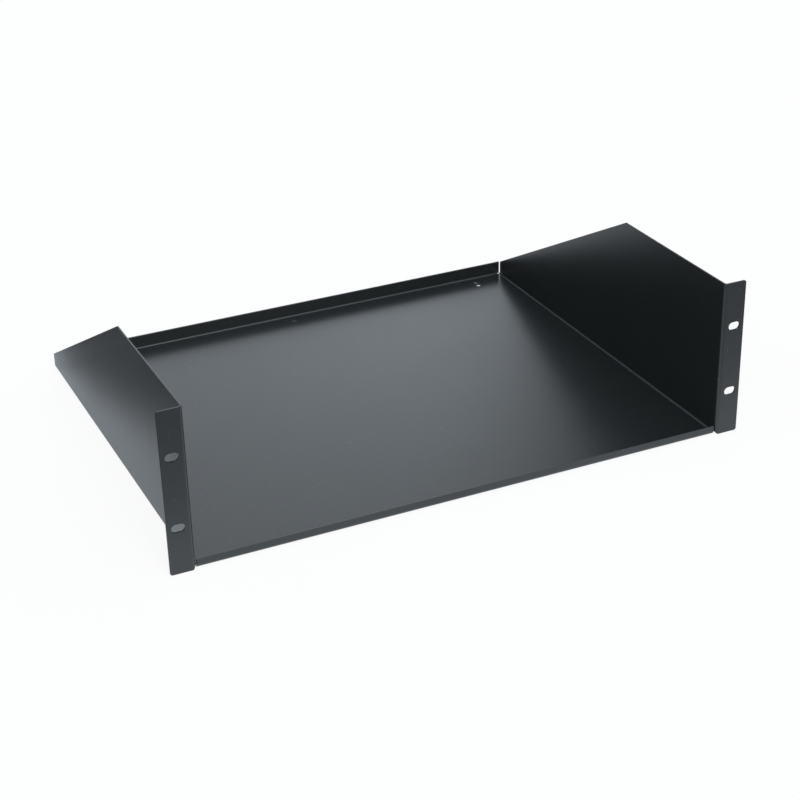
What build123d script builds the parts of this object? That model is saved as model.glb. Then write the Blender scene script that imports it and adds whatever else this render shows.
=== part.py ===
from build123d import *
import os

# A three-unit shelf for a 19 inch rack, folded from sheet steel.
# X runs across the rack, Y from front to rear, Z up. The origin is the centre of the four
# mounting slots, in the plane where the ears bear on the rack rails.

# Sheet and folding
sheet = 1.52
bend_radius = 1.6
bend_outer = bend_radius + sheet
edge_round = 0.3
shortest_rounded = 5.0
corner_angle = 30.0

# Rack panel
panel_width = 482.6
panel_height = 132.1
ear_width = 19.7
ear_corner_radius = 2.0
slot_edge_distance = 8.75
slot_row_spacing = 57.15
slot_width = 6.8
slot_length = 10.3

# Clear depth of the floor between its lips
inner_depth = 368.3

# Side brackets
level_top_length = 147.5
rear_height = 13.7
edge_start = 6.0
edge_flat = 0.4
corner_relief = 2.0

# Base tray
tray_setback = 1.5
front_lip_height = 7.6
lip_gap = 0.8
lip_end_rise = 0.6
rear_hole_diameter = 5.0
rear_hole_count = 2
rear_hole_spacing = 380.0
rear_hole_inset = 16.0

# Seam welds between the brackets' turned-in edges and the tray
seam_width = 1.0

# Places worked out from the sizes above
wall_inner = panel_width / 2 - ear_width
wall_outer = wall_inner + sheet
ear_front = -sheet
ear_bottom = -panel_height / 2
ear_top = panel_height / 2
tray_front = ear_front + tray_setback
lip_inner_front = tray_front + sheet
lip_inner_rear = lip_inner_front + inner_depth
tray_rear = lip_inner_rear + sheet
tray_under = ear_bottom
tray_top = tray_under + sheet
edge_front = ear_front + edge_start
edge_end = wall_inner - bend_radius - edge_flat
tray_half_width = edge_end - seam_width
lip_half_width = wall_inner - lip_gap
lip_end_bottom = tray_top + lip_end_rise
notch_front = edge_front - lip_gap
seam_length = lip_inner_rear - edge_front
front_lip_top = ear_bottom + front_lip_height
rear_lip_top = ear_bottom + rear_height
slope_start = ear_front + level_top_length
slot_column = panel_width / 2 - slot_edge_distance
rear_hole_line = lip_inner_rear - rear_hole_inset

os.makedirs("parts", exist_ok=True)


def corner_edges(piece):
    """The longer edges of a folded sheet's cut outline, where two faces meet at a corner."""
    found = ShapeList()
    for edge in piece.edges().filter_by(lambda candidate: candidate.length > shortest_rounded):
        normals = [face.normal_at(edge @ 0.5) for face in piece.faces() if edge in face.edges()]
        if normals[0].get_angle(normals[1]) > corner_angle:
            found.append(edge)
    return found


# Base tray: floor with a low lip turned up in front and a higher one behind
with BuildPart() as base_tray:
    with BuildSketch(Plane.YZ):
        with BuildLine():
            underside = FilletPolyline(
                (tray_front, front_lip_top),
                (tray_front, tray_under),
                (tray_rear, tray_under),
                (tray_rear, rear_lip_top),
                radius=bend_outer,
            )
            offset(underside, amount=sheet, side=Side.LEFT)
        make_face()
    extrude(amount=lip_half_width, both=True)
    fillet(corner_edges(base_tray).filter_by(Axis.Y, reverse=True), radius=edge_round)

    # Behind the front fold the floor stops at the seams, and the rear lip reaches on to the walls
    with BuildSketch(Plane.XZ.offset(-notch_front)):
        for side in (-1, 1):
            with Locations((side * (tray_half_width + lip_half_width) / 2, tray_under)):
                Rectangle(
                    lip_half_width - tray_half_width,
                    lip_end_bottom - tray_under,
                    align=(Align.CENTER, Align.MIN),
                )
    extrude(amount=notch_front - tray_rear, mode=Mode.SUBTRACT)

    with Locations((0, rear_hole_line, tray_top)):
        with GridLocations(rear_hole_spacing, 0, rear_hole_count, 1):
            Hole(rear_hole_diameter / 2)


# Right side bracket: wall, rack ear folded outwards in front, lower edge turned in below
with BuildPart() as right_side_bracket:
    with BuildSketch(Plane.XY.offset(ear_bottom)):
        with BuildLine():
            ear_face = FilletPolyline(
                (panel_width / 2, ear_front),
                (wall_inner, ear_front),
                (wall_inner, edge_front),
                radius=bend_outer,
            )
            offset(ear_face, amount=sheet, side=Side.RIGHT)
        make_face()
    extrude(amount=panel_height)

    with BuildSketch(Plane.XZ.offset(-edge_front)):
        with BuildLine():
            wall_face = FilletPolyline(
                (wall_inner, ear_top),
                (wall_inner, tray_top),
                (edge_end, tray_top),
                radius=bend_radius,
            )
            offset(wall_face, amount=sheet, side=Side.LEFT)
        make_face()
    extrude(amount=-seam_length)

    # The top edge is level in front and slopes down to the rear lip
    with BuildSketch(Plane.YZ.offset(wall_inner)):
        with BuildLine():
            Polyline(
                (slope_start, ear_top),
                (lip_inner_rear, ear_top),
                (lip_inner_rear, rear_lip_top),
                close=True,
            )
        make_face()
    extrude(amount=sheet, mode=Mode.SUBTRACT)

    # Relief where the two folds meet at the lower front corner
    with BuildSketch(Plane.XZ.offset(-edge_front)):
        with BuildLine():
            Polyline(
                (wall_inner, ear_bottom),
                (wall_inner, ear_bottom + corner_relief),
                (wall_inner + corner_relief, ear_bottom),
                close=True,
            )
        make_face()
    extrude(amount=edge_start, mode=Mode.SUBTRACT)

    ear_corners = right_side_bracket.edges().filter_by(Axis.Y).group_by(Axis.X)[-1]
    fillet(ear_corners, radius=ear_corner_radius)
    coated_edges = corner_edges(right_side_bracket).filter_by_position(
        Axis.X, edge_end, panel_width / 2, inclusive=(False, True)
    )
    fillet(coated_edges, radius=edge_round)

    with BuildSketch(Plane.XZ.offset(-ear_front)):
        with Locations((slot_column, 0)):
            with GridLocations(0, slot_row_spacing, 1, 2):
                SlotOverall(slot_length, slot_width)
    extrude(amount=-sheet, mode=Mode.SUBTRACT)


# Left side bracket: the same piece folded the other way
with BuildPart() as left_side_bracket:
    mirror(right_side_bracket.part, about=Plane.YZ)


# Seam welds: each fills the gap between a bracket and the tray, dressed flush on both sides
with BuildPart() as right_seam_weld:
    with BuildSketch(Plane.XY.offset(tray_under)):
        with Locations((tray_half_width, edge_front)):
            Rectangle(seam_width, seam_length, align=(Align.MIN, Align.MIN))
    extrude(amount=sheet)

with BuildPart() as left_seam_weld:
    mirror(right_seam_weld.part, about=Plane.YZ)


pieces = {
    "base_tray": base_tray,
    "right_side_bracket": right_side_bracket,
    "left_side_bracket": left_side_bracket,
    "right_seam_weld": right_seam_weld,
    "left_seam_weld": left_seam_weld,
}
for name, piece in pieces.items():
    piece.part.label = name
    export_step(piece.part, f"parts/{name}.step")
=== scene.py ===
import math

import bpy
from mathutils import Matrix, Vector


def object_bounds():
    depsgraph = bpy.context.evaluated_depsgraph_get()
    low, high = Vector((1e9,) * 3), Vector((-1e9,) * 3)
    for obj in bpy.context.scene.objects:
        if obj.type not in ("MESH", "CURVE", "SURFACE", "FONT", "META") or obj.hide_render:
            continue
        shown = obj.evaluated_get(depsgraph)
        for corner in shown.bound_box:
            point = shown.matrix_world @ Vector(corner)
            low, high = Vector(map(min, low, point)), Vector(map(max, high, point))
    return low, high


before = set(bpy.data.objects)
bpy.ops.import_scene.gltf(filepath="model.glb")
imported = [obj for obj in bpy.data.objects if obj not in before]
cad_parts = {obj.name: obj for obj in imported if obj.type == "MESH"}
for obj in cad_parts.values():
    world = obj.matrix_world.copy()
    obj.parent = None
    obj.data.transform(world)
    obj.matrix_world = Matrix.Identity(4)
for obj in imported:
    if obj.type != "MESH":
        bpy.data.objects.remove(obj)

cad_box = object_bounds()

# Places are in metres and in the frame's own axes: X across the rack, Y from front to rear, Z up
UP = Vector((0.0, 0.0, 1.0))
SHELF_BOTTOM = cad_box[0][2]
SHEET = 0.00152
TRAY_TOP = SHELF_BOTTOM + SHEET

# Colours are linear
WHITE = (1.0, 1.0, 1.0, 1.0)
WHITE_STRENGTH = 1.0

# Camera, as the photograph was taken; lens and sensor in millimetres
CAMERA_PLACE = (-0.53857, -1.05382, 0.62630)
CAMERA_TARGET = (0.01991, 0.16936, -0.06453)
CAMERA_ROLL = math.radians(1.3485)
LENS = 80.57
SENSOR = 36.0

# Powder coat
COAT_COLOUR = (0.0088, 0.0108, 0.0114, 1.0)
COAT_IOR = 1.58
COAT_ROUGHNESS = 0.30
ROUGHNESS_SPREAD = 0.02
PATCH_SCALE = 22.0
PATCH_DETAIL = 3.0
PEEL_SCALE = 900.0
PEEL_DETAIL = 2.0
PEEL_DEPTH = 0.00002
PEEL_STRENGTH = 0.12
SPECK_SCALE = 520.0
SPECK_DETAIL = 0.0
SPECK_RANGE = (0.820, 0.842)
SPECK_COLOUR = (0.0480, 0.0530, 0.0550, 1.0)

# Two small light spots on the tray near its rear lip, painted in the coat: the stronger one is painted light
# at the right rear hole, the fainter one lies in the middle. X and Y, reach and strength of each
REAR_LIGHT_SPOTS = [((0.0009, 0.3592), 0.0031, 0.58), ((0.1896, 0.3590), 0.0031, 1.00)]
REAR_SPOT_COLOUR = (0.1500, 0.1600, 0.1640, 1.0)

# Studio light: a soft world, and a key light from the front, above and a little to the left
STUDIO_TINT = (0.905, 0.985, 1.06, 1.0)
WORLD_STRENGTH = 0.45
KEY_FROM = (-0.17, -0.70, 0.69)
KEY_SPREAD = math.radians(45.0)
KEY_STRENGTH = 2.3

# Pale floor, a hair below the shelf so that the two never share a plane.
# The glow is the share of plain white in what the camera sees of it
FLOOR_GAP = 0.0002
FLOOR_LEVEL = SHELF_BOTTOM - FLOOR_GAP
FLOOR_COLOUR = (0.98, 0.98, 0.98, 1.0)
FLOOR_SIZE = 12.0
FLOOR_GLOW = 0.87

# The coat mirrors the floor as a table that isn't lit evenly: places along Y, each with its level
TABLE_LEVELS = [
    (-0.60, 0.42), (-0.24, 0.50), (-0.12, 0.75), (-0.03, 1.15),
    (0.01, 1.15), (0.08, 0.72), (0.28, 0.78), (0.40, 1.10)]

# On the left the table ends, at X = place + slant * Y, with a soft edge from the first width to the second
TABLE_EDGE_PLACE = -0.3110
TABLE_EDGE_SLANT = 0.2176
TABLE_EDGE_WIDTH = (-0.030, 0.018)
BEYOND_TABLE = 0.15

# On the right its painted light falls a little, from the first X to the second
TABLE_RIGHT = (0.08, 0.26)
TABLE_RIGHT_LEVEL = 0.90

# One spot of it has a brighter pool of painted light: X and Y, reach and gain
TABLE_SPOTS = [((-0.232, 0.398), 0.030, 0.28)]

# Softbox behind, to the right. From its middle the level changes evenly in X and in Z, within limits,
# and it falls off on the right side
SOFTBOX_SIDES = (-0.3, 3.2)
SOFTBOX_DISTANCE = 2.4
SOFTBOX_TOP = 3.0
SOFTBOX_LEVEL = 1.26
SOFTBOX_MIDDLE = (0.60, 1.06)
SOFTBOX_SLOPE = (0.28, -0.60)
SOFTBOX_LIMITS = (0.88, 1.6)
SOFTBOX_FALL = (1.28, 1.56)
BESIDE_SOFTBOX = 0.25

# Brighter spots on the softbox: X and Z, reach and gain of each
SOFTBOX_SPOTS = [((1.1, 0.85), 0.55, 0.42), ((0.05, 2.35), 0.60, 2.60)]

# Dark card behind, to the left, which the shelf's floor and right wall mirror by way of each other
CARD_SIDES = (-2.4, -0.35)
CARD_DISTANCE = 2.4
CARD_HEIGHTS = (0.2, 2.45)
CARD_LEVEL = 0.05


def new_material(name):
    material = bpy.data.materials.new(name)
    material.use_nodes = True
    material.node_tree.nodes.clear()
    return material, material.node_tree.nodes, material.node_tree.links


def feed(links, place, value):
    """Sets a number or colour on a socket, or links another node's output to it."""
    if isinstance(value, bpy.types.NodeSocket):
        links.new(value, place)
    else:
        place.default_value = value


def noise(nodes, links, coordinates, scale, detail):
    texture = nodes.new("ShaderNodeTexNoise")
    texture.inputs["Scale"].default_value = scale
    texture.inputs["Detail"].default_value = detail
    links.new(coordinates, texture.inputs["Vector"])
    return texture.outputs["Fac"]


def math_node(nodes, links, operation, *values):
    """A sum, product or the like of numbers and other nodes' outputs."""
    node = nodes.new("ShaderNodeMath")
    node.operation = operation
    for place, value in zip(node.inputs, values):
        feed(links, place, value)
    return node.outputs["Value"]


def ramp(nodes, links, value, places, levels, kind="SMOOTHSTEP"):
    """The first level up to the first place, the second from the second place on, and a change between."""
    step = nodes.new("ShaderNodeMapRange")
    step.interpolation_type = kind
    links.new(value, step.inputs["Value"])
    for name, number in zip(("From Min", "From Max", "To Min", "To Max"), (*places, *levels)):
        step.inputs[name].default_value = number
    return step.outputs["Result"]


def add_spots(nodes, links, coordinates, level, spots):
    """A level raised round each spot, given by its place, its reach and its gain."""
    for place, reach, gain in spots:
        distance = nodes.new("ShaderNodeVectorMath")
        distance.operation = "DISTANCE"
        distance.inputs[1].default_value = place
        links.new(coordinates, distance.inputs[0])
        extra = ramp(nodes, links, distance.outputs["Value"], (0.0, reach), (gain, 0.0))
        level = math_node(nodes, links, "ADD", level, extra)
    return level


def mix_colours(nodes, links, share, first, second):
    """The first colour where the share is 0, the second where it is 1."""
    mix = nodes.new("ShaderNodeMix")
    mix.data_type = "RGBA"
    for name, value in (("Factor", share), ("A", first), ("B", second)):
        feed(links, mix.inputs[name], value)
    return mix.outputs["Result"]


def mix_shaders(nodes, links, share, first, second):
    """The first shader where the share is 0, the second where it is 1."""
    mix = nodes.new("ShaderNodeMixShader")
    for place, value in zip(mix.inputs, (share, first, second)):
        links.new(value, place)
    return mix.outputs["Shader"]


def own_axes(nodes, links):
    """An object's own coordinates, whole and split into X, Y and Z."""
    coordinates = nodes.new("ShaderNodeTexCoord").outputs["Object"]
    split = nodes.new("ShaderNodeSeparateXYZ")
    links.new(coordinates, split.inputs["Vector"])
    return coordinates, split.outputs


def powder_coat():
    """Satin black coat: slightly uneven gloss, very fine orange peel, a few specks, and two light spots near
    the rear lip, one of them painted light at the right rear hole.
    """
    material, nodes, links = new_material("black_powder_coat")
    output = nodes.new("ShaderNodeOutputMaterial")
    shader = nodes.new("ShaderNodeBsdfPrincipled")
    shader.inputs["IOR"].default_value = COAT_IOR
    coordinates = nodes.new("ShaderNodeTexCoord").outputs["Object"]

    patches = noise(nodes, links, coordinates, PATCH_SCALE, PATCH_DETAIL)
    gloss = (COAT_ROUGHNESS - ROUGHNESS_SPREAD, COAT_ROUGHNESS + ROUGHNESS_SPREAD)
    links.new(ramp(nodes, links, patches, (0.0, 1.0), gloss, "LINEAR"), shader.inputs["Roughness"])

    specks = noise(nodes, links, coordinates, SPECK_SCALE, SPECK_DETAIL)
    specks = ramp(nodes, links, specks, SPECK_RANGE, (0.0, 1.0), "LINEAR")
    colour = mix_colours(nodes, links, specks, COAT_COLOUR, SPECK_COLOUR)
    # Two light spots near the rear lip; the one at the right rear hole is painted light
    rear_spots = add_spots(nodes, links, coordinates, 0.0, [
        ((across, along, TRAY_TOP), reach, strength) for (across, along), reach, strength in REAR_LIGHT_SPOTS])
    colour = mix_colours(nodes, links, rear_spots, colour, REAR_SPOT_COLOUR)
    links.new(colour, shader.inputs["Base Color"])

    bump = nodes.new("ShaderNodeBump")
    bump.inputs["Strength"].default_value = PEEL_STRENGTH
    bump.inputs["Distance"].default_value = PEEL_DEPTH
    links.new(noise(nodes, links, coordinates, PEEL_SCALE, PEEL_DETAIL), bump.inputs["Height"])
    links.new(bump.outputs["Normal"], shader.inputs["Normal"])

    links.new(shader.outputs["BSDF"], output.inputs["Surface"])
    return material


def coat_every_node(material):
    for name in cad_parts:
        piece = bpy.data.objects[name]
        for slot in piece.material_slots:
            slot.material = material


def rectangle(name, corners):
    """A flat piece of the stage."""
    mesh = bpy.data.meshes.new(name)
    mesh.from_pydata(corners, [], [tuple(range(len(corners)))])
    piece = bpy.data.objects.new(name, mesh)
    bpy.context.scene.collection.objects.link(piece)
    return piece


def upright_rectangle(name, sides, distance, heights):
    left, right = sides
    foot, top = heights
    return rectangle(name, [
        (left, distance, foot), (right, distance, foot),
        (right, distance, top), (left, distance, top)])


def only_in_reflections(piece):
    piece.visible_camera = False
    piece.visible_diffuse = False
    piece.visible_shadow = False
    piece.visible_transmission = False
    piece.visible_volume_scatter = False


def emission(nodes, links, colour, strength):
    glow = nodes.new("ShaderNodeEmission")
    glow.inputs["Color"].default_value = colour
    feed(links, glow.inputs["Strength"], strength)
    return glow.outputs["Emission"]


def background(nodes, colour, strength):
    sky = nodes.new("ShaderNodeBackground")
    sky.inputs["Color"].default_value = colour
    sky.inputs["Strength"].default_value = strength
    return sky.outputs["Background"]


def sees_background(nodes, links):
    """Whether a ray is a mirrored one, and whether it is any that sees the white background."""
    path = nodes.new("ShaderNodeLightPath")
    total = path.outputs["Is Camera Ray"]
    for name in ("Is Glossy Ray", "Is Transmission Ray"):
        total = math_node(nodes, links, "MAXIMUM", total, path.outputs[name])
    return path.outputs["Is Glossy Ray"], total


def table_level(nodes, links):
    """How bright the coat mirrors the floor at each place."""
    coordinates, axes = own_axes(nodes, links)
    level = TABLE_LEVELS[0][1]
    for (start, low), (end, high) in zip(TABLE_LEVELS, TABLE_LEVELS[1:]):
        step = ramp(nodes, links, axes["Y"], (start, end), (0.0, high - low))
        level = math_node(nodes, links, "ADD", step, level)
    slanted = math_node(nodes, links, "MULTIPLY", axes["Y"], -TABLE_EDGE_SLANT)
    inside = math_node(nodes, links, "ADD", axes["X"], slanted)
    inside = math_node(nodes, links, "SUBTRACT", inside, TABLE_EDGE_PLACE)
    share = ramp(nodes, links, inside, TABLE_EDGE_WIDTH, (BEYOND_TABLE, 1.0))
    level = math_node(nodes, links, "MULTIPLY", level, share)
    fall = ramp(nodes, links, axes["X"], TABLE_RIGHT, (1.0, TABLE_RIGHT_LEVEL))
    level = math_node(nodes, links, "MULTIPLY", level, fall)
    return add_spots(nodes, links, coordinates, level, [
        ((across, along, FLOOR_LEVEL), reach, gain) for (across, along), reach, gain in TABLE_SPOTS])


def pale_floor():
    """A floor that the camera sees as white with the shelf's soft shadow, and doesn't see from below."""
    half = FLOOR_SIZE / 2
    floor = rectangle("floor", [
        (-half, -half, FLOOR_LEVEL), (half, -half, FLOOR_LEVEL),
        (half, half, FLOOR_LEVEL), (-half, half, FLOOR_LEVEL)])
    material, nodes, links = new_material("pale_floor")
    output = nodes.new("ShaderNodeOutputMaterial")
    matt = nodes.new("ShaderNodeBsdfDiffuse")
    matt.inputs["Color"].default_value = FLOOR_COLOUR
    white = emission(nodes, links, WHITE, WHITE_STRENGTH)
    mirrored_ray, seen = sees_background(nodes, links)
    glow = math_node(nodes, links, "MULTIPLY", seen, FLOOR_GLOW)
    seen_floor = mix_shaders(nodes, links, glow, matt.outputs["BSDF"], white)
    mirrored_floor = emission(nodes, links, STUDIO_TINT, table_level(nodes, links))
    upper_side = mix_shaders(nodes, links, mirrored_ray, seen_floor, mirrored_floor)
    lower_side = nodes.new("ShaderNodeBsdfTransparent").outputs["BSDF"]
    from_below = nodes.new("ShaderNodeNewGeometry").outputs["Backfacing"]
    links.new(mix_shaders(nodes, links, from_below, upper_side, lower_side), output.inputs["Surface"])
    floor.data.materials.append(material)


def softbox():
    """A softbox that only the coat mirrors."""
    panel = upright_rectangle("softbox", SOFTBOX_SIDES, SOFTBOX_DISTANCE, (FLOOR_LEVEL, SOFTBOX_TOP))
    material, nodes, links = new_material("softbox")
    output = nodes.new("ShaderNodeOutputMaterial")
    coordinates, axes = own_axes(nodes, links)
    level = SOFTBOX_LEVEL
    for axis, middle, slope in zip("XZ", SOFTBOX_MIDDLE, SOFTBOX_SLOPE):
        away = math_node(nodes, links, "SUBTRACT", axes[axis], middle)
        level = math_node(nodes, links, "ADD", math_node(nodes, links, "MULTIPLY", away, slope), level)
    lowest, highest = SOFTBOX_LIMITS
    level = math_node(nodes, links, "MAXIMUM", level, lowest)
    level = math_node(nodes, links, "MINIMUM", level, highest)
    level = add_spots(nodes, links, coordinates, level, [
        ((across, SOFTBOX_DISTANCE, height), reach, gain) for (across, height), reach, gain in SOFTBOX_SPOTS])
    side = ramp(nodes, links, axes["X"], SOFTBOX_FALL, (1.0, BESIDE_SOFTBOX))
    level = math_node(nodes, links, "MULTIPLY", level, side)
    links.new(emission(nodes, links, STUDIO_TINT, level), output.inputs["Surface"])
    panel.data.materials.append(material)
    only_in_reflections(panel)


def dark_card():
    """A dark card that only the coat mirrors."""
    card = upright_rectangle("dark_card", CARD_SIDES, CARD_DISTANCE, CARD_HEIGHTS)
    material, nodes, links = new_material("dark_card")
    output = nodes.new("ShaderNodeOutputMaterial")
    links.new(emission(nodes, links, STUDIO_TINT, CARD_LEVEL), output.inputs["Surface"])
    card.data.materials.append(material)
    only_in_reflections(card)


def soft_world():
    """Soft light on the shelf. The camera sees white, which the coat mirrors in the studio's tint."""
    world = bpy.data.worlds.new("soft_world")
    bpy.context.scene.world = world
    world.use_nodes = True
    nodes, links = world.node_tree.nodes, world.node_tree.links
    nodes.clear()
    output = nodes.new("ShaderNodeOutputWorld")
    ambient = background(nodes, STUDIO_TINT, WORLD_STRENGTH)
    white = background(nodes, WHITE, WHITE_STRENGTH)
    mirrored_white = background(nodes, STUDIO_TINT, WHITE_STRENGTH)
    mirrored_ray, seen = sees_background(nodes, links)
    either_white = mix_shaders(nodes, links, mirrored_ray, white, mirrored_white)
    links.new(mix_shaders(nodes, links, seen, ambient, either_white), output.inputs["Surface"])


def key_light():
    light = bpy.data.lights.new("key", "SUN")
    light.angle = KEY_SPREAD
    light.energy = KEY_STRENGTH
    lamp = bpy.data.objects.new("key", light)
    lamp.rotation_euler = Vector(KEY_FROM).to_track_quat("Z", "Y").to_euler()
    bpy.context.scene.collection.objects.link(lamp)


def camera():
    data = bpy.data.cameras.new("camera")
    data.sensor_width = SENSOR
    data.lens = LENS
    place = Vector(CAMERA_PLACE)
    forward = (Vector(CAMERA_TARGET) - place).normalized()
    level_right = forward.cross(UP).normalized()
    level_up = level_right.cross(forward)
    up = level_up * math.cos(CAMERA_ROLL) + level_right * math.sin(CAMERA_ROLL)
    right = forward.cross(up)
    turn = Matrix((right, up, -forward)).transposed().to_4x4()
    eye = bpy.data.objects.new("camera", data)
    eye.matrix_world = Matrix.Translation(place) @ turn
    bpy.context.scene.collection.objects.link(eye)
    bpy.context.scene.camera = eye


coat_every_node(powder_coat())
pale_floor()
softbox()
dark_card()
soft_world()
key_light()
camera()
bpy.context.scene.view_settings.view_transform = "Standard"
